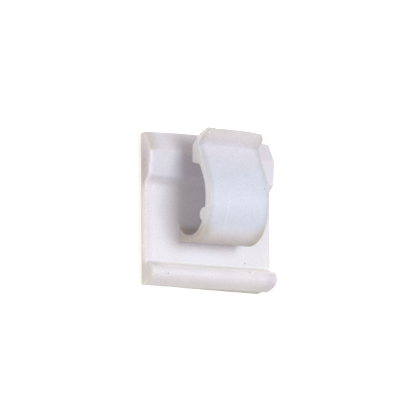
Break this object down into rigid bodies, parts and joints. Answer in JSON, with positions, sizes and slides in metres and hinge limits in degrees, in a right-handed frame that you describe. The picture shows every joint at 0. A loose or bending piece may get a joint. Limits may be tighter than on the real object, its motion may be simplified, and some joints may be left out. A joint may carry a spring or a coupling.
{
  "type": "adhesive cable clip",
  "caption": "Adhesive cable clip: a square moulded base on a foam pad, with a springy open hook that a cable snaps under.",
  "frame": {"origin": "centre of the adhesive face, the underside of the foam pad", "axes": "+X along the cable, +Y across it towards the clip's mouth, +Z away from the wall"},
  "size_m": [0.02, 0.0202, 0.0089],
  "materials": {
    "nylon": "satin natural nylon",
    "foam": "fine closed-cell foam tape"
  },
  "bodies": {
    "root": {"clip_body": "nylon", "adhesive_pad": "foam"}
  },
  "joints": []
}
